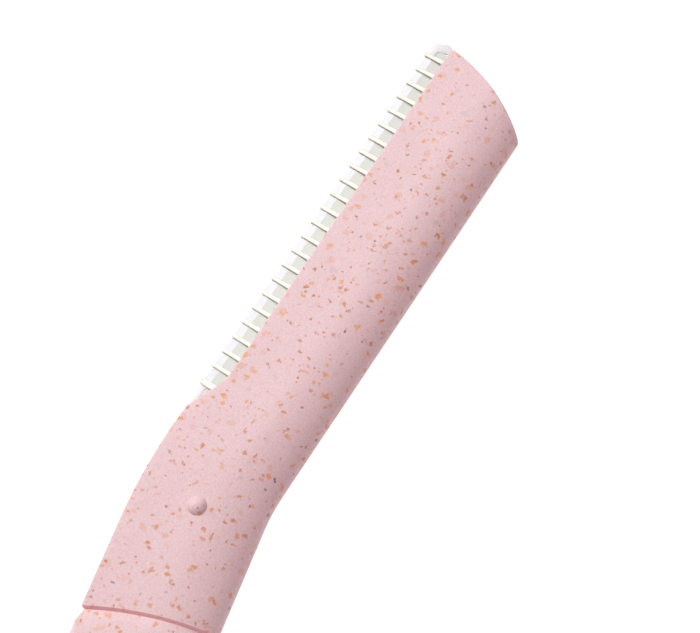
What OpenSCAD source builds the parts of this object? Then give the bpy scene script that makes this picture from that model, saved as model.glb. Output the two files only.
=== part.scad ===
// Eyebrow razor: a guarded steel blade in a slim moulded head, a flat moulded grip, and a cap posted on the tail.
// The part lies on its side on Z = 0. X runs along the grip towards the head, and Y to the blade's side.
// The head has a frame of its own: U runs from the tip to the heel along the blade, V from the blade to the spine.

/* [Head] */
// Length of the head, from its front corner at the tip to the bend in the spine
head_len = 39.1; // [38.5:0.1:44]
// Depth of the head, from its front face to the spine
head_depth = 8.55; // [8.2:0.05:10.5]
// Thickness of the head at its front face
head_front_t = 3.5; // [3:0.1:4]
// Thickness of the head where the spine begins to round off
head_t = 4.2; // [4:0.1:4.6]
// How far the tip slants back towards the spine
tip_slant = 3.5; // [2:0.05:5]
// How far the tip bulges beyond its corners
tip_bulge = 0.65; // [0.4:0.05:1.3]
// Angle between the head and the neck
bend = 10.8; // [8:0.2:14]
// How far the shoulder stands out past the front face of the head
shoulder_out = 1.45; // [1.3:0.05:2]
// Distance from the start of the shoulder's curve to the bend in the spine
shoulder_from_bend = 7.3; // [6.8:0.1:8.5]
// Length of the curve that leads out to the shoulder
shoulder_len = 4.8; // [3.5:0.1:5.2]

/* [Neck] */
// Width of the neck
neck_w = 10.35; // [9.9:0.05:12]
// Thickness of the neck at its front face
neck_front_t = 4; // [3.8:0.1:4.4]
// Thickness of the neck where the spine begins to round off
neck_t = 4.5; // [4.4:0.1:5]
// Length of the neck along the spine, from the bend to the joint with the grip
neck_len = 10.5; // [10:0.1:16]
// Distance of the pip from the joint with the grip
pip_from_joint = 8.65; // [6:0.05:9]
// Diameter of the pip that the cap clicks over
pip_d = 1.55; // [1.2:0.05:2]
// Height of the pip
pip_h = 0.32; // [0.2:0.02:0.4]

/* [Grip] */
// Length of the grip along the spine
grip_len = 99.5; // [92:0.1:120]
// Width of the grip at its waist
waist_w = 9.4; // [8.8:0.1:10.4]
// Radius of the curved joint line between neck and grip
joint_r = 29; // [20:0.5:40]
// Depth of the groove along the joint line
groove_depth = 0.35; // [0.2:0.05:0.5]

/* [Blade] */
// Thickness of the blade
blade_t = 0.2; // [0.15:0.01:0.3]
// Width of the honed bevel
bevel_w = 0.65; // [0.5:0.05:1]
// How far the cutting edge stands out past the front face of the head
blade_out = 1.9; // [1.5:0.05:2.1]
// How deep the blade reaches into the head
blade_in = 4.6; // [4:0.1:5.5]

/* [Guard comb] */
// Distance between neighbouring ribs
rib_pitch = 1.4; // [1.2:0.05:2]
// Width of a rib
rib_w = 0.42; // [0.3:0.02:0.6]
// How far the ribs stand out past the cutting edge
rib_nose = 0.14; // [0.1:0.01:0.25]
// Thickness of the comb's two rails with the blade between them
comb_t = 1; // [0.8:0.05:1.2]

/* [Cap] */
// Wall of the cap
cap_wall = 0.9; // [0.8:0.05:1.2]
// Length of neck that the cap covers past the pip, when it is on the head
cap_over_pip = 1.6; // [1.2:0.1:2.5]
// Room in front of the tip, when the cap is on the head
cap_tip_room = 1.4; // [1:0.1:3]
// Length of empty cap beyond the tail, when the cap is posted on it
cap_free_len = 5.6; // [5:0.1:8]

/* [Hidden] */

// Clearances: of pieces held together, of the cap on what it covers, and the overrun of every cut
fit_gap = 0.03;
cap_gap = 0.1;
overrun = 1;

// Section of the head, neck and grip: a flat side, a small round in front and an elliptical round to the spine
spine_round_share = 0.445;
front_round = 0.3;
grip_front_round = 1.5;
grip_round_share = 0.9;
flat_steps = 5;
round_steps = 6;
tip_edge = 0.2;
curve_step = 0.6;

// Bend: the head's outline turns into the neck's on two arcs
spine_bend_r = 41;
front_bend_r = 46;
blend_len = 9;
shoulder_start = head_len - shoulder_from_bend;

// Joint line: a curve across the neck that is nearest the head close to the spine
joint_apex = 5.05;
groove_head_side = 0.4;
groove_grip_side = 0.95;

// Tongue of the head that is held in the grip
tongue_len = 16;
tongue_root = 4;
tongue_w = 5;
tongue_t = 2.2;

// Places along the neck's axis, counted from the head's front corner at the tip
turn = [cos(bend), sin(bend)];
spine_corner = head_len * turn.x + head_depth * turn.y;
spine_offset = head_depth * turn.x - head_len * turn.y;
front_corner_u = (neck_w - spine_offset - shoulder_out * turn.x) / turn.y;
front_corner = front_corner_u * turn.x - shoulder_out * turn.y;
front_shift = front_corner_u - front_corner;
spine_shift = head_len - spine_corner;
joint_a = spine_corner + neck_len;
pip_a = joint_a - pip_from_joint;
tail_a = joint_a + grip_len;

// Cap: its inside clears the head with its guard, the neck under its mouth, and the tail
cap_neck_u = pip_a + cap_over_pip;
cap_inner_w = blade_out + rib_nose + head_depth + (cap_neck_u - head_len) * tan(bend) + 2 * cap_gap;
cap_inner_t = neck_t + 2 * cap_gap;
cap_inner_len = cap_neck_u + cap_tip_room;
cap_outer_w = cap_inner_w + 2 * cap_wall;
cap_outer_t = cap_inner_t + 2 * cap_wall;
cap_post_len = cap_inner_len - cap_free_len;
cap_corner_r = 1.9;
cap_inner_r = 0.9;
cap_end_r = 3.2;
cap_crown_share = 0.6;
dimple_h = pip_h - cap_gap + fit_gap;

// Grip: as thick as the cap where it rests, and thinned at the tail to carry the cap
grip_t = cap_outer_t;
tail_w = cap_inner_w - 2 * cap_gap;
tail_t = neck_t;
ramp_len = 12;
tail_round = 5.2;
tail_edge = 1.1;
swell_start = joint_a + ramp_len;
swell_end = tail_a - cap_post_len - ramp_len;
rest_a = (swell_start + swell_end) / 2;
mid_z = grip_t / 2;
head_y = -neck_w / 2 + spine_offset;

// Blade and comb in the head
slot_in = 5.2;
slot_tip = 0.15;
slot_past_shoulder = 1.1;
slot_heel = shoulder_start + shoulder_len + slot_past_shoulder;
blade_cover = 0.1;
blade_tip_cut = 0.1;
blade_heel_cut = 1.3;
blade_hole_r = 0.7;
blade_holes = 3;
blade_hole_v = 2.8;
held_tip = slot_tip + fit_gap;
held_heel = slot_heel - fit_gap;
blade_tip = held_tip + blade_cover;
blade_heel = held_heel - blade_cover;
rib_first = 1.02;
rib_last_gap = 1.57;
last_rib_w = 0.5;
rib_count = floor((shoulder_start + rib_w - rib_first) / rib_pitch) + 1;
rib_tip_r = 0.3;
rib_root = 0.5;
end_cap_back = 0.45;
end_cap_slant = 0.5;
end_cap_side = 0.75;
end_cap_more = 0.2;
window_v = 0.4;
window_inset = 0.05;
strip_cover = 0.05;
heel_block_len = 2.4;
heel_recess = 0.15;

// Curves that run from 0 to 1 with flat ends
function smooth(x) = let (c = min(max(x, 0), 1)) c * c * (3 - 2 * c);
function mix(a, b, share) = a + (b - a) * share;

// A point of the head's frame, seen along the neck's axis: distance from the tip, and distance to the blade's side
function to_row(p) = [
    rest_a - p.x * turn.x - p.y * turn.y,
    head_y + p.x * turn.y - p.y * turn.x
];

// A path that runs along the head at depth v, turns round a corner at u and goes on along the neck
function bent(s, u, v, r) =
    let (
        start = u - r * tan(bend / 2),
        arc = r * bend * PI / 180,
        g = min(max((s - start) / r * 180 / PI, 0), bend),
        rest = max(s - start - arc, 0)
    )
    [min(s, start) + r * sin(g) + rest * turn.x, v + r * (1 - cos(g)) + rest * turn.y];

// Front and spine outlines of the head and neck
function front_at(s) =
    let (p = bent(s, front_corner_u, -shoulder_out, front_bend_r))
    [p.x, p.y + shoulder_out * (1 - smooth((s - shoulder_start) / shoulder_len))];
function spine_at(s) = bent(s, head_len, head_depth, spine_bend_r);

// Upper half of the section as [share of the width, height], from the front face to the spine
function upper(w, front_h, h, r) = concat(
    [for (g = [0:30:90]) [r * (1 - cos(g)) / w, front_h - r * (1 - sin(g))]],
    [for (i = [1:flat_steps - 1]) let (k = i / flat_steps)
        [mix(r / w, 1 - spine_round_share, k), mix(front_h, h, k)]],
    [for (i = [0:round_steps - 1]) let (g = 90 * i / round_steps)
        [1 - spine_round_share * (1 - sin(g)), h * cos(g)]]
);

// A closed ring from a front point to a spine point, bowed along the axis, with the same half section above and below
function ring(front, spine, bow, half) =
    let (loop = concat(half, [[1, 0]], [for (i = [len(half) - 1:-1:0]) [half[i].x, -half[i].y]]))
    [for (q = loop) let (p = mix(front, spine, q.x) + 4 * q.x * (1 - q.x) * bow) [p.x, p.y, mid_z + q.y]];

// The same with the razor's section, drawn in all round by inset
function razor_ring(front, spine, bow, front_h, h, r, inset = 0) =
    let (
        w = norm(spine - front),
        in = inset * (spine - front) / w
    )
    ring(front + in, spine - in, bow, upper(w - 2 * inset, front_h - inset, h - inset, r));

// A solid through a row of rings, with each end closed by upright strips
module loft(rings) {
    n = len(rings[0]);
    last = len(rings) - 1;
    half = (n - 1) / 2;
    sides = [for (i = [0:last - 1], j = [0:n - 1]) let (a = i * n + j, b = i * n + (j + 1) % n)
        each [[a, b, a + n], [b, b + n, a + n]]];
    ends = [for (e = [0, last], j = [0:half - 1]) let (a = e * n + j, b = a + 1, c = e * n + n - 1 - j, d = c - 1)
        each (e == 0 ? [[a, c, b], [b, c, d]] : [[a, b, c], [b, d, c]])];
    polyhedron([for (r = rings) each r], [for (f = concat(sides, ends)) if (f[0] != f[1] && f[1] != f[2]) f]);
}

// A ring at one place on the head and neck, where 0 is the head's frame and 1 the neck's
function head_ring(s) =
    let (
        turned = smooth((s - shoulder_start - shoulder_len / 2) / blend_len),
        thick = smooth((s - shoulder_start) / blend_len),
        front_h = mix(head_front_t, neck_front_t, thick) / 2,
        h = mix(head_t, neck_t, thick) / 2
    )
    razor_ring(to_row(front_at(s + front_shift * turned)), to_row(spine_at(s + spine_shift * turned)),
        [0, 0], front_h, h, front_round);

// The slanted, bulging end of the head
function tip_ring(s, inset) =
    razor_ring(to_row([s, 0]), to_row([s + tip_slant, head_depth]), to_row([-tip_bulge, 0]) - to_row([0, 0]),
        head_front_t / 2, head_t / 2, front_round, inset);

// A ring along the joint line, which both the neck and the grip share
function joint_lag(y) = pow(y + joint_apex, 2) / (2 * joint_r);
function joint_ring(back, inset, r) =
    let (
        side = neck_w / 2,
        x = rest_a - joint_a - back,
        sag = (joint_lag(side) + joint_lag(-side)) / 2 - joint_lag(0)
    )
    razor_ring([x - joint_lag(side), side], [x - joint_lag(-side), -side], [sag, 0],
        neck_front_t / 2, neck_t / 2, r, inset);

// The pip, a low dome on each side of the neck
module pip() {
    pip_r = (pip_d * pip_d / 4 + pip_h * pip_h) / (2 * pip_h);
    face_share = 0.5 / (1 - spine_round_share);
    face_h = mix(neck_front_t, neck_t, face_share) / 2;
    for (side = [0, 1])
        translate([rest_a - pip_a, 0, mid_z])
            mirror([0, 0, side])
                translate([0, 0, face_h + pip_h - pip_r])
                    sphere(r = pip_r, $fn = 48);
}

module in_head_frame() {
    translate([rest_a, head_y, mid_z])
        rotate(180 - bend)
            children();
}

// Plan of what lies in the slot, cut at the tip along the slant of the head
module slot_plan(tip, heel, depth, out, tip_cut = 0, heel_cut = 0) {
    lean = tip_slant / head_depth;
    polygon([
        [heel - heel_cut, -out],
        [tip + tip_cut, -out],
        [tip, 0],
        [tip + depth * lean, depth],
        [heel, depth],
        [heel, 0]
    ]);
}

module plate(t) {
    translate([0, 0, -t / 2])
        linear_extrude(t)
            children();
}

// Along the head: a section in V and Z is carried along U
module along_head(from, length) {
    translate([from, 0, 0])
        rotate([90, 0, 90])
            linear_extrude(length)
                children();
}

module head() {
    straight = [tip_ring(0, tip_edge), tip_ring(tip_edge, 0)];
    curved_end = joint_a - groove_head_side - joint_lag(neck_w / 2) - curve_step;
    curved = [for (s = [shoulder_start:curve_step:curved_end]) head_ring(s)];
    joint = [for (g = [0:30:90]) joint_ring(-groove_head_side * cos(g), groove_depth * (1 - cos(90 - g)), front_round)];
    color("pink")
        difference() {
            union() {
                loft(concat(straight, curved, joint));
                pip();
                translate([rest_a - joint_a - tongue_len, -tongue_w / 2, mid_z - tongue_t / 2])
                    cube([tongue_len + tongue_root, tongue_w, tongue_t]);
            }
            in_head_frame()
                plate(comb_t + 2 * fit_gap)
                    slot_plan(slot_tip, slot_heel, slot_in, shoulder_out + overrun);
        }
}

module grip() {
    joint = [for (k = [0:1]) joint_ring(k * groove_grip_side, groove_depth * (1 - k), front_round)];
    color("pink")
        difference() {
            loft(concat(joint, [for (a = grip_places()) grip_ring(a)]));
            translate([rest_a - joint_a - tongue_len - fit_gap, -tongue_w / 2 - fit_gap, mid_z - tongue_t / 2 - fit_gap])
                cube([tongue_len + tongue_root, tongue_w + 2 * fit_gap, tongue_t + 2 * fit_gap]);
        }
}

// Places of the grip's rings: even along the bar, closer on the round end of the tail
function grip_places() = concat(
    [for (k = [1:8]) mix(joint_a + joint_lag(neck_w / 2) + groove_grip_side, swell_start, k / 8)],
    [for (k = [1:6]) mix(swell_start, swell_end, k / 6)],
    [for (k = [1:8]) mix(swell_end, swell_end + ramp_len, k / 8)],
    [for (g = [0:15:90]) tail_a - tail_round * (1 - sin(g))]
);

function grip_ring(a) =
    let (
        swell = smooth((a - joint_a - groove_grip_side) / ramp_len) * (1 - smooth((a - swell_end) / ramp_len)),
        past = max(a - tail_a + tail_round, 0) / tail_round,
        round_off = 1 - sqrt(1 - min(past * past, 1)),
        to_waist = smooth((a - joint_a) / (rest_a - joint_a)),
        to_tail = smooth((a - rest_a) / (swell_end + ramp_len - rest_a)),
        w = mix(mix(neck_w, waist_w, to_waist), tail_w, to_tail) - 2 * (tail_round - tail_edge) * round_off,
        h = mix(neck_t, grip_t, swell) / 2 - (tail_t / 2 - tail_edge) * round_off,
        front_h = mix(neck_front_t, grip_t, swell) / 2 - (neck_front_t / 2 - tail_edge) * round_off,
        r = min(mix(front_round, grip_front_round, smooth((a - joint_a) / ramp_len)), front_h * grip_round_share)
    )
    razor_ring([rest_a - a, w / 2], [rest_a - a, -w / 2], [0, 0], front_h, h, r);

// Section of the blade in V and Z: a flat strip honed from both sides to its edge
module blade_section() {
    polygon([
        [-blade_out, 0],
        [bevel_w - blade_out, blade_t / 2],
        [blade_in, blade_t / 2],
        [blade_in, -blade_t / 2],
        [bevel_w - blade_out, -blade_t / 2]
    ]);
}

function blade_hole_u(i) = mix(slot_tip, slot_heel, (i + 0.5) / blade_holes);

// The blade in the head's frame, with round holes where the comb's plastic joins through it
module blade_strip() {
    difference() {
        intersection() {
            along_head(held_tip, held_heel - held_tip)
                blade_section();
            plate(blade_t)
                slot_plan(blade_tip, blade_heel, blade_in, blade_out, blade_tip_cut, blade_heel_cut);
        }
        for (i = [0:blade_holes - 1])
            translate([blade_hole_u(i), blade_hole_v, 0])
                cylinder(r = blade_hole_r, h = blade_t + overrun, center = true, $fn = 32);
    }
}

module blade() {
    color("silver")
        in_head_frame()
            blade_strip();
}

// Section of a rib in V and Z: it leaves the slot, thins towards the cutting edge and loops round it
module rib_section() {
    nose = -blade_out - rib_nose + rib_tip_r;
    polygon([
        [nose, rib_tip_r],
        [0, comb_t / 2],
        [rib_root, comb_t / 2],
        [rib_root, -comb_t / 2],
        [0, -comb_t / 2],
        [nose, -rib_tip_r]
    ]);
    translate([nose, 0])
        circle(r = rib_tip_r, $fn = 24);
}

// The comb's block at the tip: it covers the blade's corner, round a window over the flat of the blade
module end_cap_plan() {
    nose = blade_out + rib_nose;
    side = rib_first - rib_w / 2;
    polygon([
        [-end_cap_back, -fit_gap],
        [-end_cap_back, -end_cap_side],
        [end_cap_slant - end_cap_back, -blade_out + strip_cover],
        [side, -nose],
        [rib_first, -nose],
        [rib_first, bevel_w - blade_out],
        [blade_tip + blade_tip_cut, bevel_w - blade_out],
        [blade_tip + window_inset, -window_v],
        [held_tip + rib_root, -fit_gap]
    ]);
}

// The last rib, and the strip that runs from it along the cutting edge into the shoulder
module heel_strip_plan() {
    last = rib_first + (rib_count - 1) * rib_pitch + rib_last_gap;
    turn_u = blade_heel - blade_heel_cut;
    polygon([
        [last - last_rib_w / 2, rib_root],
        [last - last_rib_w / 2, -blade_out - rib_nose],
        [turn_u, -blade_out - strip_cover],
        [held_heel, heel_recess - shoulder_out],
        [held_heel, bevel_w - shoulder_out],
        [turn_u, bevel_w - blade_out],
        [last + last_rib_w / 2, bevel_w - blade_out],
        [last + last_rib_w / 2, rib_root]
    ]);
}

// The block that fills the slot in the shoulder, behind the strip
module heel_block_plan() {
    polygon([
        [held_heel - heel_block_len, rib_root],
        [held_heel - heel_block_len, -shoulder_out / 2],
        [shoulder_start + shoulder_len, heel_recess - shoulder_out],
        [held_heel, heel_recess - shoulder_out],
        [held_heel, rib_root]
    ]);
}

// The guard comb, moulded round the blade: one block in the slot, with a rib for every step along the edge
module guard_comb() {
    color("ivory")
        in_head_frame()
            difference() {
                union() {
                    plate(comb_t)
                        slot_plan(held_tip, held_heel, slot_in - fit_gap, 2 * fit_gap);
                    for (i = [0:rib_count - 1])
                        along_head(rib_first + i * rib_pitch - rib_w / 2, rib_w)
                            rib_section();
                    plate(comb_t + end_cap_more)
                        end_cap_plan();
                    plate(2 * rib_tip_r)
                        heel_strip_plan();
                    plate(comb_t)
                        heel_block_plan();
                }
                blade_strip();
            }
}

// Half of a rectangle with round corners: from X = 0 it runs along X, and only the corners at 0 are round
module round_start(length, width, r) {
    translate([r, -width / 2])
        square([length - r, width]);
    translate([0, r - width / 2])
        square([r, width - 2 * r]);
    for (side = [-1, 1])
        translate([r, side * (width / 2 - r)])
            circle(r = r, $fn = 48);
}

// A bar along X, with round edges and a round end at X = 0
module capsule(length, width, thick, edge, end) {
    intersection() {
        rotate([90, 0, 90])
            linear_extrude(length)
                for (side = [0, 1])
                    mirror([side, 0])
                        translate([-width / 2, 0])
                            round_start(width / 2, thick, edge);
        plate(thick + overrun)
            round_start(length + overrun, width, end);
        rotate([90, 0, 0])
            plate(width + overrun)
                round_start(length + overrun, thick, edge * cap_crown_share);
    }
}

// The cap, posted on the tail with its mouth towards the head
module cap() {
    cap_len = cap_inner_len + cap_wall;
    color("pink")
        translate([rest_a - tail_a - cap_free_len - cap_wall, 0, mid_z])
            difference() {
                capsule(cap_len, cap_outer_w, cap_outer_t, cap_corner_r, cap_end_r);
                translate([cap_wall, 0, 0])
                    capsule(cap_len, cap_inner_w, cap_inner_t, cap_inner_r, cap_end_r - cap_wall);
                for (side = [0, 1])
                    translate([cap_len - cap_over_pip, 0, 0])
                        mirror([0, 0, side])
                            translate([0, 0, cap_inner_t / 2 - fit_gap])
                                cylinder(d = pip_d + 2 * cap_gap, h = dimple_h + fit_gap, $fn = 48);
            }
}

head();
grip();
blade();
guard_comb();
cap();
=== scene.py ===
from collections import namedtuple
from math import atan2, cos, pi, radians, sin, sqrt, tan

import bmesh
import bpy
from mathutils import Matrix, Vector


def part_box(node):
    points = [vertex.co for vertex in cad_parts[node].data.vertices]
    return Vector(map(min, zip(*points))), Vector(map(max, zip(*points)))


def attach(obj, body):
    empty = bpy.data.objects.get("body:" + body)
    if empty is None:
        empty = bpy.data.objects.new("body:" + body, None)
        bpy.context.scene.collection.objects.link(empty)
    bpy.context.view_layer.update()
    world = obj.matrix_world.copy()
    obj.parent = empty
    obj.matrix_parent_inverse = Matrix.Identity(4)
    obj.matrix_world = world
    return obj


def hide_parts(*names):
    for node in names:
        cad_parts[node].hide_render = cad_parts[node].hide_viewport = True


# Frame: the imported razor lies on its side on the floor, with X along the grip towards the head, Y to the
# blade's side and Z up. Blender's unit is the metre, and the sizes are written in millimetres.
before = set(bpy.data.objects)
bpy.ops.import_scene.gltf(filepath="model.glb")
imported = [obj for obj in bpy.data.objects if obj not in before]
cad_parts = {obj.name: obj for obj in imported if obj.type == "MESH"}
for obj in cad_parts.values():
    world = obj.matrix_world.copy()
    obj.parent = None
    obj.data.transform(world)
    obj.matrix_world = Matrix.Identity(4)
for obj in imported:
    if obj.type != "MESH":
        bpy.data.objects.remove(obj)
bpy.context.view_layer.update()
mm = 0.001


# Camera: a long lens looks down on the head, a little from the grip's end and from the spine's side, and is
# turned so that the head points to the upper right of the picture.
bpy.ops.object.camera_add(
    location=(22.364 * mm, -30.068 * mm, 157.515 * mm),
    rotation=(radians(15.2028), radians(3.6891), radians(-67.4035)))
camera = bpy.context.object
camera.name = "camera"
camera.data.sensor_width = 36
camera.data.lens = 104.589
camera.data.clip_start = 10 * mm
bpy.context.scene.camera = camera
bpy.context.scene.view_settings.view_transform = "Standard"


# Floor and light: a pale studio table that glows a little, so that no shadow shows on it, the main soft lamp
# over the blade's side of the head, a weaker one above, a faint rosy one on the spine's side, and a dim
# white surround.
class Wire:
    """A value inside a material: a sum or product with it adds the Math node that works it out."""

    def __init__(self, finish, socket):
        self.finish = finish
        self.socket = socket

    def beside(self, output):
        """Another output of the same node."""
        return Wire(self.finish, self.socket.node.outputs[output])

    def __add__(self, other):
        return self.finish.math("ADD", self, other)

    def __sub__(self, other):
        return self.finish.math("SUBTRACT", self, other)

    def __rsub__(self, other):
        return self.finish.math("SUBTRACT", other, self)

    def __mul__(self, other):
        return self.finish.math("MULTIPLY", self, other)

    def __truediv__(self, other):
        return self.finish.math("DIVIDE", self, other)

    def __abs__(self):
        return self.finish.math("ABSOLUTE", self, 0)

    __radd__ = __add__
    __rmul__ = __mul__


class Finish:
    """A material with one Principled shader, and the nodes that feed it."""

    def __init__(self, name):
        self.material = bpy.data.materials.new(name)
        self.material.use_nodes = True
        self.tree = self.material.node_tree
        self.shader = self.tree.nodes["Principled BSDF"]

    def node(self, kind, output, settings=None, **values):
        """Adds a node, with its settings first, and gives back the named output as a Wire."""
        node = self.tree.nodes.new(kind)
        for name, value in (settings or {}).items():
            setattr(node, name, value)
        self.feed(node, values)
        return Wire(self, next(s for s in node.outputs if s.enabled and s.name == output))

    def feed(self, node, values):
        """Gives sockets their values or links: an underscore stands for a space in a socket's name."""
        for name, value in values.items():
            self.give(next(s for s in node.inputs if s.enabled and s.name == name.replace("_", " ")), value)

    def give(self, socket, value):
        if isinstance(value, Wire):
            self.tree.links.new(value.socket, socket)
        else:
            socket.default_value = value

    def math(self, operation, first, second):
        node = self.tree.nodes.new("ShaderNodeMath")
        node.operation = operation
        for socket, value in zip(node.inputs, (first, second)):
            self.give(socket, value)
        return Wire(self, node.outputs[0])

    def vector(self, operation, first, second):
        """Works with places or directions: a plain number stands for the same in all three directions."""
        node = self.tree.nodes.new("ShaderNodeVectorMath")
        node.operation = operation
        self.give(node.inputs[0], first)
        self.give(node.inputs[1], (second, second, second) if isinstance(second, (int, float)) else second)
        return Wire(self, node.outputs["Vector"])

    def mix(self, share, a, b):
        """Blends two colours."""
        return self.node("ShaderNodeMix", "Result", {"data_type": "RGBA"}, Factor=share, A=a, B=b)

    def step(self, value, low, high, start=0.0, end=1.0):
        """Leads a value smoothly from start, at low, to end, at high."""
        return self.node("ShaderNodeMapRange", "Result", {"interpolation_type": "SMOOTHSTEP"},
            Value=value, From_Min=low, From_Max=high, To_Min=start, To_Max=end)

    def place(self, turn=(0, 0, 0), stretch=(1, 1, 1)):
        """The place on the object in metres, turned and stretched."""
        spot = self.node("ShaderNodeTexCoord", "Object")
        return self.node("ShaderNodeMapping", "Vector", Vector=spot, Rotation=turn, Scale=stretch)

    def noise(self, spot, size, detail=2.0):
        """Soft noise from 0 to 1, with patches of that size."""
        return self.node("ShaderNodeTexNoise", "Fac", Vector=spot, Scale=1 / size, Detail=detail)

    def shade(self, **values):
        self.feed(self.shader, values)

    def bump(self, height, depth):
        """Lets a height from 0 to 1 stand out of the surface by that depth."""
        normal = self.node("ShaderNodeBump", "Normal", Height=height, Distance=depth)
        self.shade(Normal=normal)


def white_table():
    """A matt pale sheet with a weak glow."""
    finish = Finish("white_table")
    patches = finish.noise(finish.place(), 60 * mm)
    pale = finish.mix(patches, (0.34, 0.34, 0.34, 1), (0.36, 0.36, 0.36, 1))
    finish.shade(Base_Color=pale, Roughness=0.8, Specular_IOR_Level=0.2,
        Emission_Color=(1, 1, 1, 1), Emission_Strength=0.87)
    return finish.material


bpy.ops.mesh.primitive_plane_add(size=3)
floor = bpy.context.object
floor.name = "floor"
floor.data.materials.append(white_table())

surround = bpy.data.worlds.new("white_surround")
surround.use_nodes = True
surround.node_tree.nodes["Background"].inputs["Color"].default_value = (1, 0.97, 0.98, 1)
surround.node_tree.nodes["Background"].inputs["Strength"].default_value = 0.17
bpy.context.scene.world = surround


def add_lamp(name, towards, distance, power, colour=(1, 1, 1)):
    """A square soft lamp over the head, aimed at it."""
    aim = Vector((55 * mm, 0, 0))
    towards = Vector(towards).normalized()
    bpy.ops.object.light_add(type="AREA", location=aim + distance * towards,
        rotation=towards.to_track_quat("Z", "Y").to_euler())
    lamp = bpy.context.object
    lamp.name = name
    lamp.data.size = 0.5
    lamp.data.energy = power
    lamp.data.color = colour


add_lamp("main_lamp", towards=(0.5, 0.92, 1.08), distance=0.8, power=5.35)
add_lamp("fill_lamp", towards=(0.2, 0.17, 0.96), distance=0.9, power=1.8)
add_lamp("spine_lamp", towards=(-0.3, -0.8, 0.8), distance=0.8, power=0.8, colour=(1, 0.3, 0.42))


# Head: one slim moulding of speckled plastic with the neck. A flat-sided bar with a round spine, it carries
# the blade in a slot along its front, turns into the neck through a shoulder, and has a pip on each side
# that the cap clicks over.
tiny = 0.001 * mm
mid_z = 3.25 * mm
head_len = 39.1 * mm
head_depth = 8.55 * mm
head_front_h = 1.75 * mm
head_half_h = 2.1 * mm
front_round = 0.1 * mm
bend = radians(10.8)
front_bend_r = 46 * mm
spine_bend_r = 15 * mm
spine_share = 0.445
shoulder_out = 1.45 * mm
shoulder_len = 4.8 * mm
shoulder_start = head_len - 7.3 * mm
blend_len = 9 * mm
neck_w = 10.35 * mm
neck_len = 10.5 * mm
neck_front_h = 2 * mm
neck_half_h = 2.25 * mm
joint_r = 29 * mm
joint_apex = 5.05 * mm
# The turn from the head to the neck, and the corners that it makes. Places that end in _a are counted along
# the neck from the tip's front corner, and the one at X = 0 is rest_a.
turn = Vector((cos(bend), sin(bend)))
spine_offset = head_depth * turn.x - head_len * turn.y
spine_corner = head_len * turn.x + head_depth * turn.y
front_corner_u = (neck_w - spine_offset - shoulder_out * turn.x) / turn.y
front_corner = front_corner_u * turn.x - shoulder_out * turn.y
joint_a = spine_corner + neck_len
rest_a = 80.63 * mm
joint_x = rest_a - joint_a
head_y = spine_offset - neck_w / 2


def to_row(u, v):
    """A point of the head's own plan, u from the tip along the blade and v from the front to the spine."""
    return Vector((rest_a - u * turn.x - v * turn.y, head_y + u * turn.y - v * turn.x))


def in_head(point):
    """The other way round: how far a point lies along the head, and how deep."""
    x = point.x - rest_a
    y = point.y - head_y
    return -x * turn.x + y * turn.y, -x * turn.y - y * turn.x


def smooth(x):
    """Leads softly from 0 to 1."""
    x = min(max(x, 0), 1)
    return x * x * (3 - 2 * x)


def mix(a, b, share):
    return a + (b - a) * share


def bent(s, u, v, radius):
    """A path along the head at depth v that turns round a corner at u into the neck's direction."""
    start = u - radius * tan(bend / 2)
    angle = min(max((s - start) / radius, 0), bend)
    rest = max(s - start - radius * bend, 0)
    along = min(s, start) + radius * sin(angle) + rest * turn.x
    return [along, v + radius * (1 - cos(angle)) + rest * turn.y]


class Ring(namedtuple("Ring", "front spine front_h half_h corner")):
    """One upright section of a bar: its front and spine points, half heights, and front corner radius."""

    @property
    def width(self):
        return (self.front - self.spine).length

    @property
    def angle(self):
        across = self.front - self.spine
        return atan2(-across.x, across.y)


def choose(kind, want):
    """Selects those vertices, edges or faces of the mesh in edit mode that are wanted."""
    bpy.ops.mesh.select_all(action="DESELECT")
    bpy.ops.mesh.select_mode(type=kind)
    mesh = bmesh.from_edit_mesh(bpy.context.object.data)
    for item in {"VERT": mesh.verts, "EDGE": mesh.edges, "FACE": mesh.faces}[kind]:
        item.select_set(want(item))
    mesh.select_flush_mode()
    bmesh.update_edit_mesh(bpy.context.object.data)


def add_section(name, ring):
    """The first end of a bar: an upright rectangle with a round spine and small front corners."""
    round_w = spine_share * ring.width
    bpy.ops.object.select_all(action="DESELECT")
    bpy.ops.mesh.primitive_plane_add(size=1, location=(0, ring.width / 2, mid_z), rotation=(0, pi / 2, 0))
    bpy.context.object.name = name
    bpy.ops.object.transform_apply(location=True, rotation=True, scale=True)
    bpy.ops.object.mode_set(mode="EDIT")
    bpy.ops.transform.resize(value=(1, ring.width, 2 * round_w), center_override=(0, ring.width / 2, mid_z))
    choose("VERT", lambda v: v.co.y < tiny)
    bpy.ops.mesh.bevel(offset=round_w, segments=8, affect="VERTICES", clamp_overlap=False)
    bpy.ops.mesh.select_all(action="SELECT")
    bpy.ops.mesh.remove_doubles(threshold=tiny)
    bpy.ops.transform.resize(value=(1, 1, ring.half_h / round_w), center_override=(0, 0, mid_z))
    choose("VERT", lambda v: v.co.y > ring.width - tiny)
    bpy.ops.mesh.bevel(offset=ring.corner, segments=3, affect="VERTICES")
    bpy.ops.transform.resize(value=(1, 1, ring.front_h / ring.half_h), center_override=(0, 0, mid_z))
    bpy.ops.mesh.select_all(action="SELECT")
    bpy.ops.transform.rotate(value=-ring.angle, orient_axis="Z", center_override=(0, 0, mid_z))
    bpy.ops.transform.translate(value=(ring.spine.x, ring.spine.y, 0))


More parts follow.
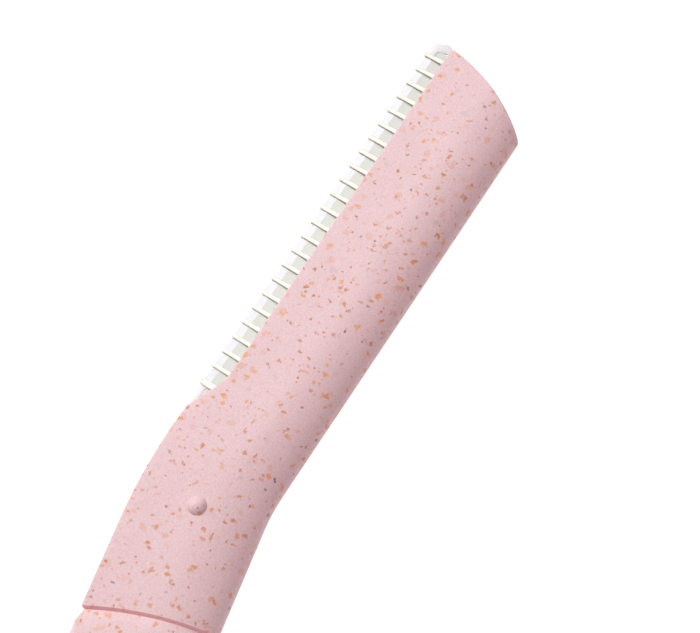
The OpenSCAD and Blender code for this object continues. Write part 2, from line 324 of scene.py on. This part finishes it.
def draw_on(last, ring):
    """Extrudes the selected end of a bar from its last ring to the next, and gives it that ring's form."""
    bpy.ops.mesh.extrude_region_move()
    verts = bmesh.from_edit_mesh(bpy.context.object.data).verts
    end = {v.index for v in verts if v.select}
    wider = ring.width / last.width
    higher = ring.half_h / last.half_h
    pivot = (last.spine.x, last.spine.y, mid_z)
    bpy.ops.transform.resize(value=(wider, wider, higher), center_override=pivot)
    bpy.ops.transform.rotate(value=last.angle - ring.angle, orient_axis="Z", center_override=pivot)
    bpy.ops.transform.translate(value=(ring.spine.x - last.spine.x, ring.spine.y - last.spine.y, 0))

    def in_front(v):
        return v.index in end and (v.co.xy - ring.spine).length > ring.width / 2

    choose("VERT", in_front)
    flatter = ring.front_h / (last.front_h * higher)
    bpy.ops.transform.resize(value=(1, 1, flatter), center_override=pivot)
    for side in (-1, 1):
        choose("VERT", lambda v: in_front(v) and (v.co.z - mid_z) * side > 0)
        corner = (ring.front.x, ring.front.y, mid_z + side * ring.front_h)
        rounder = ring.corner / last.corner
        bpy.ops.transform.resize(value=(rounder / wider, rounder / wider, rounder / higher / flatter),
            center_override=corner)
    choose("VERT", lambda v: v.index in end)


def crosses_flat(edge):
    """True for the long edges that run across a bar's flat sides, and not for those that run along it."""
    start, end = (v.co for v in edge.verts)
    return edge.calc_length() > 2.5 * mm and abs(start.x - end.x) < 2 * mm


def finish_bar(rings):
    """Draws a bar through its rings, splits its flat sides into rows, and turns its faces outwards."""
    for last, ring in zip(rings, rings[1:]):
        draw_on(last, ring)
    choose("EDGE", crosses_flat)
    bpy.ops.mesh.subdivide(number_cuts=8)
    bpy.ops.mesh.select_all(action="SELECT")
    bpy.ops.mesh.normals_make_consistent(inside=False)


def shape_end(here, depth, shift):
    """Lays a seam across the end at each upright row of its rim, and moves every row there by its depth."""
    mesh = bmesh.from_edit_mesh(bpy.context.object.data)
    end_face = max((f for f in mesh.faces if all(here(v) for v in f.verts)), key=lambda f: len(f.verts))
    rim = {v.index for v in end_face.verts}
    for row in sorted({round(depth(v.co) / tiny) for v in end_face.verts}):
        choose("VERT", lambda v: v.index in rim and abs(depth(v.co) / tiny - row) < 1)
        bpy.ops.mesh.vert_connect()
    mesh = bmesh.from_edit_mesh(bpy.context.object.data)
    rows = {v.index: round(depth(v.co) / tiny) for v in mesh.verts if here(v)}
    for row in sorted(set(rows.values())):
        choose("VERT", lambda v: rows.get(v.index) == row)
        move = shift(row * tiny)
        bpy.ops.transform.translate(value=(move.x, move.y, 0))


def tip_ring(back, inset):
    """The head's end, drawn in by inset."""
    return Ring(to_row(back, inset), to_row(back, head_depth - inset),
        head_front_h - inset, head_half_h - inset, front_round)


def head_ring(s):
    """A ring at one place on the curve from head to neck."""
    turned = smooth((s - shoulder_start - shoulder_len / 2) / blend_len)
    thick = smooth((s - shoulder_start) / blend_len)
    front_s = s + (front_corner_u - front_corner) * turned
    spine_s = s + (head_len - spine_corner) * turned
    front = bent(front_s, front_corner_u, -shoulder_out, front_bend_r)
    front[1] += shoulder_out * (1 - smooth((front_s - shoulder_start) / shoulder_len))
    spine = bent(spine_s, head_len, head_depth, spine_bend_r)
    return Ring(to_row(*front), to_row(*spine),
        mix(head_front_h, neck_front_h, thick), mix(head_half_h, neck_half_h, thick), front_round)


def joint_lag(y):
    """How far the curved joint line between neck and grip falls back at this place, a number or a Wire."""
    past = y + joint_apex
    return past * past / (2 * joint_r)


def joint_ring(back, inset):
    """An end at the joint, so far on the grip's side of it, and drawn in by inset."""
    x = joint_x - back
    side = neck_w / 2 - inset
    return Ring(Vector((x, side)), Vector((x, -side)),
        neck_front_h - inset, neck_half_h - inset, front_round)


tip_round = 0.2 * mm
neck_chamfer = 0.22 * mm
groove_depth = 0.28 * mm
curve_end = joint_a - 2.8 * mm
curve_steps = 54
quarter = [k * pi / 6 for k in range(4)]
rings = [tip_ring(tip_round * (1 - cos(g)), tip_round * (1 - sin(g))) for g in quarter]
rings += [head_ring(mix(shoulder_start, curve_end, k / curve_steps)) for k in range(curve_steps + 1)]
rings += [joint_ring(-neck_chamfer * cos(g), neck_chamfer * (1 - cos(g))) for g in quarter]
rings.append(joint_ring(0, groove_depth))
add_section("head_body", rings[0])
finish_bar(rings)

tip_slant = 3.5 * mm
tip_bulge = 0.65 * mm
tip_zone = 6 * mm


def tip_shift(v):
    """The tip slants back towards the spine and bulges between its corners."""
    share = v / head_depth
    back = tip_slant * share - 4 * share * (1 - share) * tip_bulge
    return Vector((-back * turn.x, back * turn.y))


shape_end(lambda v: in_head(v.co)[0] < tip_zone, lambda p: in_head(p)[1], tip_shift)
shape_end(lambda v: v.co.x < joint_x + mm, lambda p: p.y, lambda y: Vector((-joint_lag(y), 0)))
bpy.ops.object.mode_set(mode="OBJECT")
head = bpy.context.object


def use_tool(piece, tool, operation):
    """Joins a second body to a piece or cuts it out, and takes the second body away."""
    bpy.ops.object.select_all(action="DESELECT")
    piece.select_set(True)
    bpy.context.view_layer.objects.active = piece
    bpy.ops.object.modifier_add(type="BOOLEAN")
    step = piece.modifiers[-1]
    step.operation = operation
    step.solver = "EXACT"
    step.object = tool
    bpy.ops.object.modifier_apply(modifier=step.name)
    bpy.data.objects.remove(tool)


def finish_shading(piece):
    """Shades a moulding smooth, with its wide flats kept flat up to where they start to round over."""
    bpy.ops.object.shade_smooth_by_angle(angle=radians(30))
    bpy.ops.object.modifier_add(type="WEIGHTED_NORMAL")
    piece.modifiers[-1].keep_sharp = True
    bpy.ops.object.modifier_apply(modifier=piece.modifiers[-1].name)


pip_r = 0.775 * mm
pip_h = 0.45 * mm
pip_foot = 0.4 * mm
pip_steps = 10
pip_from_joint = 8.65 * mm
pip_x = joint_x + pip_from_joint
pip_flat_h = mix(neck_front_h, neck_half_h, 0.9)


def add_pip(side):
    """A low dome, whose straight foot is sunk into one flat of the neck."""
    face_z = mid_z + side * pip_flat_h
    bpy.ops.object.select_all(action="DESELECT")
    bpy.ops.mesh.primitive_circle_add(vertices=48, radius=pip_r, fill_type="NGON",
        location=(pip_x, 0, face_z - side * pip_foot))
    bpy.ops.object.transform_apply(location=True, rotation=True, scale=True)
    bpy.ops.object.mode_set(mode="EDIT")
    bpy.ops.mesh.select_all(action="SELECT")
    bpy.ops.mesh.extrude_region_move(TRANSFORM_OT_translate={"value": (0, 0, side * pip_foot)})
    ball_r = (pip_r ** 2 + pip_h ** 2) / (2 * pip_h)
    width = pip_r
    height = 0
    for k in range(1, pip_steps):
        next_width = pip_r * cos(k / pip_steps * pi / 2)
        next_height = sqrt(ball_r ** 2 - next_width ** 2) - ball_r + pip_h
        rise = side * (next_height - height)
        narrower = next_width / width
        bpy.ops.mesh.extrude_region_move(TRANSFORM_OT_translate={"value": (0, 0, rise)})
        bpy.ops.transform.resize(value=(narrower, narrower, 1), center_override=(pip_x, 0, face_z))
        width = next_width
        height = next_height
    bpy.ops.mesh.select_all(action="SELECT")
    bpy.ops.mesh.normals_make_consistent(inside=False)
    bpy.ops.object.mode_set(mode="OBJECT")
    return bpy.context.object


def put_in_head(piece):
    """Turns a piece that is made along X, with the tip at 0, into its place in the head."""
    piece.rotation_euler.z = pi - bend
    piece.location = (rest_a, head_y, mid_z)
    bpy.ops.object.select_all(action="DESELECT")
    piece.select_set(True)
    bpy.context.view_layer.objects.active = piece
    bpy.ops.object.transform_apply(location=True, rotation=True, scale=True)


def add_slab(name, start, end, front, back, thick):
    """A flat slab in the head's plan, split along the head's front, and left in edit mode."""
    bpy.ops.object.select_all(action="DESELECT")
    bpy.ops.mesh.primitive_cube_add(size=1, location=((start + end) / 2, (front + back) / 2, 0),
        scale=(end - start, back - front, thick))
    bpy.context.object.name = name
    bpy.ops.object.transform_apply(location=True, rotation=True, scale=True)
    bpy.ops.object.mode_set(mode="EDIT")
    bpy.ops.mesh.select_all(action="SELECT")
    bpy.ops.mesh.bisect(plane_co=(0, 0, 0), plane_no=(0, 1, 0))


def slant_tip(start):
    """Leans a slab's tip end back behind the front face as the head's own tip leans."""
    depth = max(v.co.y for v in bmesh.from_edit_mesh(bpy.context.object.data).verts)
    choose("VERT", lambda v: v.co.x < start + tiny and v.co.y > depth - tiny)
    bpy.ops.transform.translate(value=(depth * tip_slant / head_depth, 0, 0))


slot_tip = 0.15 * mm
slot_heel = shoulder_start + shoulder_len + 1.1 * mm
slot_in = 5.2 * mm
slot_overrun = 2.5 * mm
comb_t = 1.0 * mm
fit_gap = 0.03 * mm
for side in (-1, 1):
    use_tool(head, add_pip(side), "UNION")
add_slab("slot_cutter", slot_tip, slot_heel, -slot_overrun, slot_in, comb_t + 2 * fit_gap)
slant_tip(slot_tip)
bpy.ops.object.mode_set(mode="OBJECT")
cutter = bpy.context.object
put_in_head(cutter)
use_tool(head, cutter, "DIFFERENCE")
finish_shading(head)


class Chips:
    """Chips in a material: ragged ellipsoids in some cells of a loose grid, each turned its own way."""

    def __init__(self, finish, cell, half_size, kept, seed):
        self.finish = finish
        half_w = half_size[1]
        offset = (seed * 7.3 * mm, seed * 3.1 * mm, seed * 5.7 * mm)
        spot = finish.node("ShaderNodeMapping", "Vector", Vector=finish.place(), Location=offset)
        ragged = finish.node("ShaderNodeTexNoise", "Color", Vector=spot, Scale=0.9 / half_w, Detail=2.0)
        shaken = finish.vector("ADD", spot, finish.vector("MULTIPLY", ragged, 1.8 * half_w))
        centre = finish.node("ShaderNodeTexVoronoi", "Position", Vector=shaken, Scale=1 / cell)
        lot = centre.beside("Color")
        turned = finish.node("ShaderNodeVectorRotate", "Vector", {"rotation_type": "EULER_XYZ"},
            Vector=finish.vector("SUBTRACT", shaken, centre), Rotation=finish.vector("MULTIPLY", lot, 40))
        reach = finish.vector("DIVIDE", turned, half_size)
        away = finish.node("ShaderNodeVectorMath", "Value", {"operation": "LENGTH"}, Vector=reach)
        share = finish.node("ShaderNodeSeparateColor", "Red", Color=lot)
        self.strength = share.beside("Green")
        self.tint = share.beside("Blue")
        size = 0.45 + 0.55 * self.tint
        crumbled = finish.step(finish.noise(spot, 0.11 * mm), 0.34, 0.5, 0.45, 1.0)
        self.mask = finish.step(away / size, 1.05, 0.55) * crumbled * finish.step(share, kept, kept - 0.01)

    def over(self, colour, chip_colour, weakest, spread):
        """Lays the chips over a colour, each with its own strength from weakest to weakest plus spread."""
        return self.finish.mix(self.mask * (weakest + self.strength * spread), colour, chip_colour)


def speckled_plastic(name, parted_with_painted_shade):
    """Pale pink plastic filled with crushed plant fibre; if parted, with a parting line darkened by painted
    shade and painted rosy shade in the groove at the joint.
    """
    finish = Finish(name)
    cloud = finish.noise(finish.place(), 3 * mm, 3.0)
    grain = finish.noise(finish.place(), 0.13 * mm, 3.0)
    mottle = cloud * 0.35 + finish.step(grain, 0.3, 0.7) * 0.65
    colour = finish.mix(mottle, (0.73, 0.52, 0.535, 1), (0.87, 0.66, 0.675, 1))
    smudges = Chips(finish, 1.6 * mm, (0.5 * mm, 0.3 * mm, 0.3 * mm), kept=0.6, seed=1)
    colour = smudges.over(colour, (0.45, 0.38, 0.42, 1), 0.12, 0.25)
    sunk = Chips(finish, 1.0 * mm, (0.6 * mm, 0.36 * mm, 0.32 * mm), kept=0.7, seed=2)
    colour = sunk.over(colour, (0.76, 0.38, 0.2, 1), 0.2, 0.4)
    tan_chips = Chips(finish, 0.8 * mm, (0.47 * mm, 0.3 * mm, 0.25 * mm), kept=0.85, seed=3)
    tan_colour = finish.mix(tan_chips.tint, (0.50, 0.17, 0.045, 1), (0.82, 0.36, 0.12, 1))
    colour = tan_chips.over(colour, tan_colour, 0.6, 0.4)
    fibres = Chips(finish, 1.3 * mm, (0.75 * mm, 0.13 * mm, 0.13 * mm), kept=0.6, seed=4)
    colour = fibres.over(colour, (0.78, 0.36, 0.15, 1), 0.3, 0.5)
    crumbs = Chips(finish, 0.5 * mm, (0.14 * mm, 0.12 * mm, 0.12 * mm), kept=0.4, seed=5)
    colour = crumbs.over(colour, (0.66, 0.22, 0.09, 1), 0.45, 0.5)
    dark = Chips(finish, 0.85 * mm, (0.24 * mm, 0.17 * mm, 0.17 * mm), kept=0.18, seed=6)
    colour = dark.over(colour, (0.13, 0.035, 0.075, 1), 0.5, 0.45)
    relief = grain * 0.3
    if parted_with_painted_shade:
        along = finish.node("ShaderNodeSeparateXYZ", "X", Vector=finish.place())
        # The parting line: a low ridge through the bump, and painted shade that darkens the colour along it.
        seam_and_shade = finish.step(abs(along.beside("Z") - mid_z), 0.07 * mm, 0.03 * mm)
        colour = finish.mix(seam_and_shade * 0.35, colour, (0.55, 0.34, 0.36, 1))
        relief = relief + seam_and_shade
        # Painted rosy shade in the groove at the joint: the colour there is tinted deeper pink, standing in
        # for the pink shade that falls in it.
        groove_x = joint_x + 0.08 * mm
        groove_pink_shade = finish.step(abs(along + joint_lag(along.beside("Y")) - groove_x), 0.27 * mm, 0.13 * mm)
        colour = finish.mix(groove_pink_shade * 0.65, colour, (1.0, 0.56, 0.57, 1))
    finish.shade(Base_Color=colour, Roughness=finish.step(grain, 0, 1, 0.48, 0.62),
        Subsurface_Weight=0.15, Subsurface_Radius=(1.0, 0.4, 0.45), Subsurface_Scale=0.6 * mm,
        Specular_IOR_Level=0.5)
    finish.bump(relief, 0.02 * mm)
    return finish.material


pink_plastic = speckled_plastic("speckled_plastic", parted_with_painted_shade=True)
head.data.materials.append(pink_plastic)
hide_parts("head")
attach(head, "razor")


# Grip: the second moulding of the same plastic, pushed on to the neck's tongue. It starts at the curved
# groove as a bar like the neck, swells to a thick, softly rounded middle, and thins again to the tail that
# the cap is posted on.
grip_len = 99.5 * mm
waist_w = 9.4 * mm
tail_w = 11.4216 * mm
tail_a = joint_a + grip_len
swell_end = 98.75 * mm
ramp_len = 12 * mm
groove_side = 0.95 * mm
grip_half_h = mid_z
grip_round = 1.5 * mm
tail_round = 5.2 * mm
tail_edge = 1.1 * mm


def grip_ring(a):
    """A ring at one place on the grip, counted along the razor."""
    rising = smooth((a - joint_a - groove_side) / ramp_len)
    swell = rising * (1 - smooth((a - swell_end) / ramp_len))
    past = max(a - tail_a + tail_round, 0) / tail_round
    rounding = 1 - sqrt(1 - min(past * past, 1))
    to_waist = smooth((a - joint_a) / (rest_a - joint_a))
    to_tail = smooth((a - rest_a) / (swell_end + ramp_len - rest_a))
    side = mix(mix(neck_w, waist_w, to_waist), tail_w, to_tail) / 2 - (tail_round - tail_edge) * rounding
    half_h = mix(neck_half_h, grip_half_h, swell) - (neck_half_h - tail_edge) * rounding
    front_h = mix(neck_front_h, grip_half_h, swell) - (neck_front_h - tail_edge) * rounding
    corner = min(mix(front_round, grip_round, smooth((a - joint_a) / ramp_len)), front_h * 0.9)
    return Ring(Vector((rest_a - a, side)), Vector((rest_a - a, -side)), front_h, half_h, corner)


def grip_rings(start, end, count):
    """Rings at even places along a stretch of the grip, without one at its start."""
    return [grip_ring(mix(start, end, k / count)) for k in range(1, count + 1)]


groove_end = joint_a + joint_lag(neck_w / 2) + groove_side
swell_start = joint_a + ramp_len
rings = [joint_ring(k * groove_side, (1 - k) * groove_depth) for k in (0, 0.5, 1)]
rings += grip_rings(groove_end, swell_start, 12)
rings += grip_rings(swell_start, swell_end, 8)
rings += grip_rings(swell_end, swell_end + ramp_len, 12)
rings += [grip_ring(tail_a - tail_round * (1 - sin(k * pi / 20))) for k in range(11)]
add_section("grip_body", rings[0])
finish_bar(rings)
shape_end(lambda v: v.co.x > rest_a - groove_end, lambda p: p.y, lambda y: Vector((-joint_lag(y), 0)))
bpy.ops.object.mode_set(mode="OBJECT")
grip = bpy.context.object
finish_shading(grip)
grip.data.materials.append(pink_plastic)
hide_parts("grip")
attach(grip, "razor")


# Cap: a thin box moulded of the same plastic and closed at one end. It covers the head in a bag, is posted
# on the tail in use, and clicks over the neck's pips with a dimple inside each of its wide walls.
cap_lo, cap_hi = (Vector(corner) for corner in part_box("cap"))
cap_wall = 0.9 * mm
cap_corner = 3.2 * mm
cap_round = 1.9 * mm
lip_round = 0.22 * mm
dimple_r = 0.875 * mm
dimple_depth = 0.25 * mm
dimple_x = cap_hi.x - 1.6 * mm


def is_level(edge):
    """True for an edge that lies level, and not for one that stands upright."""
    return abs(edge.verts[0].co.z - edge.verts[1].co.z) < tiny


bpy.ops.object.select_all(action="DESELECT")
bpy.ops.mesh.primitive_cube_add(size=1, location=(cap_lo + cap_hi) / 2, scale=cap_hi - cap_lo)
cap = bpy.context.object
cap.name = "cap_shell"
bpy.ops.object.transform_apply(location=True, rotation=True, scale=True)
bpy.ops.object.mode_set(mode="EDIT")
choose("EDGE", lambda e: all(v.co.x < cap_lo.x + tiny for v in e.verts) and not is_level(e))
bpy.ops.mesh.bevel(offset=cap_corner, segments=10)
choose("EDGE", lambda e: is_level(e) and any(v.co.x < cap_hi.x - tiny for v in e.verts))
bpy.ops.mesh.bevel(offset=cap_round, segments=8)
choose("FACE", lambda f: f.normal.x > 0.9)
bpy.ops.mesh.delete(type="FACE")
bpy.ops.mesh.select_all(action="SELECT")
bpy.ops.mesh.normals_make_consistent(inside=False)
bpy.ops.object.mode_set(mode="OBJECT")
bpy.ops.object.modifier_add(type="SOLIDIFY")
cap.modifiers[-1].thickness = cap_wall
cap.modifiers[-1].offset = -1
cap.modifiers[-1].use_even_offset = True
bpy.ops.object.modifier_apply(modifier=cap.modifiers[-1].name)
bpy.ops.object.mode_set(mode="EDIT")
choose("EDGE", lambda e: all(v.co.x > cap_hi.x - tiny for v in e.verts) and len(e.link_faces) == 2
    and e.calc_face_angle() > 0.5)
bpy.ops.mesh.bevel(offset=lip_round, segments=3)
bpy.ops.object.mode_set(mode="OBJECT")
for side in (-1, 1):
    bpy.ops.mesh.primitive_cylinder_add(vertices=48, radius=dimple_r, depth=2 * dimple_depth,
        location=(dimple_x, 0, mid_z + side * (cap_hi.z - mid_z - cap_wall)))
    use_tool(cap, bpy.context.object, "DIFFERENCE")
finish_shading(cap)
cap.data.materials.append(speckled_plastic("cap_plastic", parted_with_painted_shade=False))
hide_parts("cap")
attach(cap, "cap")


# Blade: a thin strip of hardened steel, ground satin on its flats and honed bright to an edge. It lies in
# the comb's block, whose plastic runs through its three holes.
blade_t = 0.2 * mm
blade_out = 1.9 * mm
blade_in = 4.6 * mm
bevel_w = 0.65 * mm
bevel_v = bevel_w - blade_out
edge_share = 0.03
mouth_v = -0.02 * mm
hole_r = 0.7 * mm
hole_v = 2.8 * mm
held_tip = slot_tip + fit_gap
held_heel = slot_heel - fit_gap
blade_tip = held_tip + 0.1 * mm
blade_heel = held_heel - 0.1 * mm
# The corners of the tip and the heel, and how far each is moved along the blade
corner_moves = [
    (blade_tip, mouth_v, -0.28 * mm), (blade_tip, bevel_v, -0.1 * mm), (blade_tip, -blade_out, 0.05 * mm),
    (blade_heel, bevel_v, -0.86 * mm), (blade_heel, -blade_out, -1.3 * mm)]


def along_blade(point):
    """A point of the plan, turned as place((0, 0, bend)) turns it, so that X runs along the head."""
    return Vector((point.x * turn.x - point.y * turn.y, point.x * turn.y + point.y * turn.x))


def blade_steel():
    """Satin steel, scratched along the blade, with a brighter honed bevel."""
    finish = Finish("blade_steel")
    depth = finish.node("ShaderNodeSeparateXYZ", "Y", Vector=finish.place((0, 0, bend)))
    bevel_y = along_blade(to_row(0, bevel_v)).y
    honed = finish.step(depth, bevel_y - 0.02 * mm, bevel_y + 0.02 * mm)
    scratch = finish.noise(finish.place((0, 0, bend), (1, 25, 1)), 1.2 * mm, 4.0)
    grey = finish.mix(scratch, (0.355, 0.355, 0.33, 1), (0.415, 0.415, 0.385, 1))
    finish.shade(Base_Color=finish.mix(honed, grey, (0.45, 0.45, 0.465, 1)), Metallic=1.0,
        Roughness=0.38 + scratch * 0.12 + honed * 0.12)
    finish.bump(scratch, 0.002 * mm)
    return finish.material


add_slab("blade_strip", blade_tip, blade_heel, -blade_out, blade_in, blade_t)
slant_tip(blade_tip)
for depth in (bevel_v, mouth_v):
    bpy.ops.mesh.select_all(action="SELECT")
    bpy.ops.mesh.bisect(plane_co=(0, depth, 0), plane_no=(0, 1, 0))
choose("VERT", lambda v: v.co.y < -blade_out + tiny)
bpy.ops.transform.resize(value=(1, 1, edge_share), center_override=(0, 0, 0))
for end, depth, move in corner_moves:
    choose("VERT", lambda v: abs(v.co.x - end) < tiny and abs(v.co.y - depth) < tiny)
    bpy.ops.transform.translate(value=(move, 0, 0))
bpy.ops.object.mode_set(mode="OBJECT")
blade = bpy.context.object
for k in (1, 3, 5):
    bpy.ops.mesh.primitive_cylinder_add(vertices=32, radius=hole_r, depth=comb_t,
        location=(mix(slot_tip, slot_heel, k / 6), hole_v, 0))
    use_tool(blade, bpy.context.object, "DIFFERENCE")
put_in_head(blade)
bpy.ops.object.shade_smooth_by_angle(angle=radians(3))
blade.data.materials.append(blade_steel())
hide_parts("blade")
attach(blade, "razor")


# Guard comb: cream, slightly see-through plastic moulded round the blade. A block fills the slot, and thin
# ribs run from it over the blade to a round nose past the edge. A flat end cap closes the tip, and at the
# heel a strip and a block cover the blade's end.
rib_pitch = 1.4 * mm
rib_w = 0.32 * mm
rib_t = 0.42 * mm
rib_first = 1.02 * mm
rib_count = 23
heel_rib_w = 0.5 * mm
heel_rib_gap = 1.57 * mm
end_cap_t = 0.32 * mm
end_cap_reach = 0.7 * mm
heel_strip_t = 0.25 * mm
heel_strip_start = 33.65 * mm
heel_rib = rib_first + (rib_count - 1) * rib_pitch + heel_rib_gap
rib_places = [(rib_first + k * rib_pitch, rib_w) for k in range(rib_count)] + [(heel_rib, heel_rib_w)]
nose = -2.04 * mm
nose_round = 0.2 * mm
plate_round = 0.035 * mm


def comb_plastic():
    """Cream plastic, paler where the end cap and the heel strip are thin."""
    finish = Finish("comb_plastic")
    cloud = finish.noise(finish.place(), 2 * mm, 3.0)
    grain = finish.noise(finish.place(), 0.2 * mm, 2.0)
    along = finish.node("ShaderNodeSeparateXYZ", "X", Vector=finish.place((0, 0, bend)))
    from_tip = along_blade(to_row(0, 0)).x - along
    blur = 0.05 * mm
    in_cap = finish.step(from_tip, end_cap_reach + blur, end_cap_reach - blur)
    in_heel = finish.step(from_tip, heel_strip_start - blur, heel_strip_start + blur)
    cream = finish.mix(cloud * 0.7 + grain * 0.3, (0.8, 0.8, 0.69, 1), (0.85, 0.85, 0.75, 1))
    finish.shade(Base_Color=finish.mix(in_cap + in_heel, cream, (0.82, 0.82, 0.85, 1)),
        Roughness=finish.step(grain, 0, 1, 0.28, 0.4), Subsurface_Weight=0.3, Subsurface_Scale=0.5 * mm,
        Subsurface_Radius=(1.0, 0.95, 0.8))
    finish.bump(grain, 0.003 * mm)
    return finish.material


add_slab("comb", held_tip, held_heel, -2 * fit_gap, slot_in - fit_gap, comb_t)
slant_tip(held_tip)
for centre, width in rib_places:
    for side in (-0.5, 0.5):
        bpy.ops.mesh.select_all(action="SELECT")
        bpy.ops.mesh.bisect(plane_co=(centre + side * width, 0, 0), plane_no=(1, 0, 0))
choose("FACE", lambda f: f.normal.y < -0.9 and f.calc_area() < 1.2 * heel_rib_w * comb_t)
bpy.ops.mesh.extrude_region_move(TRANSFORM_OT_translate={"value": (0, nose + 2 * fit_gap, 0)})
bpy.ops.transform.resize(value=(1, 1, rib_t / comb_t), center_override=(0, 0, 0))
choose("EDGE", lambda e: all(v.co.y < nose + tiny for v in e.verts) and is_level(e))
bpy.ops.mesh.bevel(offset=nose_round, segments=4)
bpy.ops.object.mode_set(mode="OBJECT")
comb = bpy.context.object


def add_plate(name, outline, thick):
    """A flat plate in the head's plan, whose outline is drawn from corner to corner and filled."""
    bpy.ops.object.select_all(action="DESELECT")
    bpy.ops.mesh.primitive_plane_add(size=mm)
    bpy.context.object.name = name
    bpy.ops.object.mode_set(mode="EDIT")
    bpy.ops.mesh.select_mode(type="VERT")
    bpy.ops.mesh.select_all(action="SELECT")
    bpy.ops.mesh.merge(type="CENTER")
    pen = Vector((0, 0))
    for number, corner in enumerate(outline):
        move = Vector(corner) * mm - pen
        if number > 0:
            bpy.ops.mesh.extrude_region_move()
        bpy.ops.transform.translate(value=(move.x, move.y, -thick / 2 if number == 0 else 0))
        pen = Vector(corner) * mm
    bpy.ops.mesh.select_all(action="SELECT")
    bpy.ops.mesh.edge_face_add()
    bpy.ops.mesh.extrude_region_move(TRANSFORM_OT_translate={"value": (0, 0, thick)})
    bpy.ops.mesh.select_all(action="SELECT")
    bpy.ops.mesh.normals_make_consistent(inside=False)
    bpy.ops.object.mode_set(mode="OBJECT")
    return bpy.context.object


# Outlines in millimetres, along the head from its tip and back from its front
end_cap = [(-0.35, -0.03), (-0.66, -0.7), (-0.2, -1.8), (0.72, -2.04), (1.02, -2.04), (1.02, -1.25),
    (0.36, -1.2), (-0.04, -0.03)]
heel_strip = [(33.14, 0.5), (33.14, -2.04), (36.27, -1.95), (37.67, -1.3), (37.67, -0.8), (36.27, -1.45),
    (33.64, -1.3), (33.64, 0.5)]
heel_block = [(35.27, 0.5), (35.27, -0.725), (36.6, -1.3), (37.67, -1.3), (37.67, 0.5)]
plates = [add_plate("end_cap", end_cap, end_cap_t), add_plate("heel_strip", heel_strip, heel_strip_t),
    add_plate("heel_block", heel_block, comb_t - 0.02 * mm)]
bpy.ops.object.select_all(action="DESELECT")
for plate in plates:
    plate.select_set(True)
comb.select_set(True)
bpy.context.view_layer.objects.active = comb
bpy.ops.object.join()
put_in_head(comb)
bpy.ops.object.modifier_add(type="BEVEL")
comb.modifiers[-1].width = plate_round
comb.modifiers[-1].segments = 2
comb.modifiers[-1].limit_method = "ANGLE"
comb.modifiers[-1].angle_limit = radians(40)
bpy.ops.object.modifier_apply(modifier=comb.modifiers[-1].name)
bpy.ops.object.shade_smooth_by_angle(angle=radians(35))
comb.data.materials.append(comb_plastic())
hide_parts("guard_comb")
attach(comb, "razor")
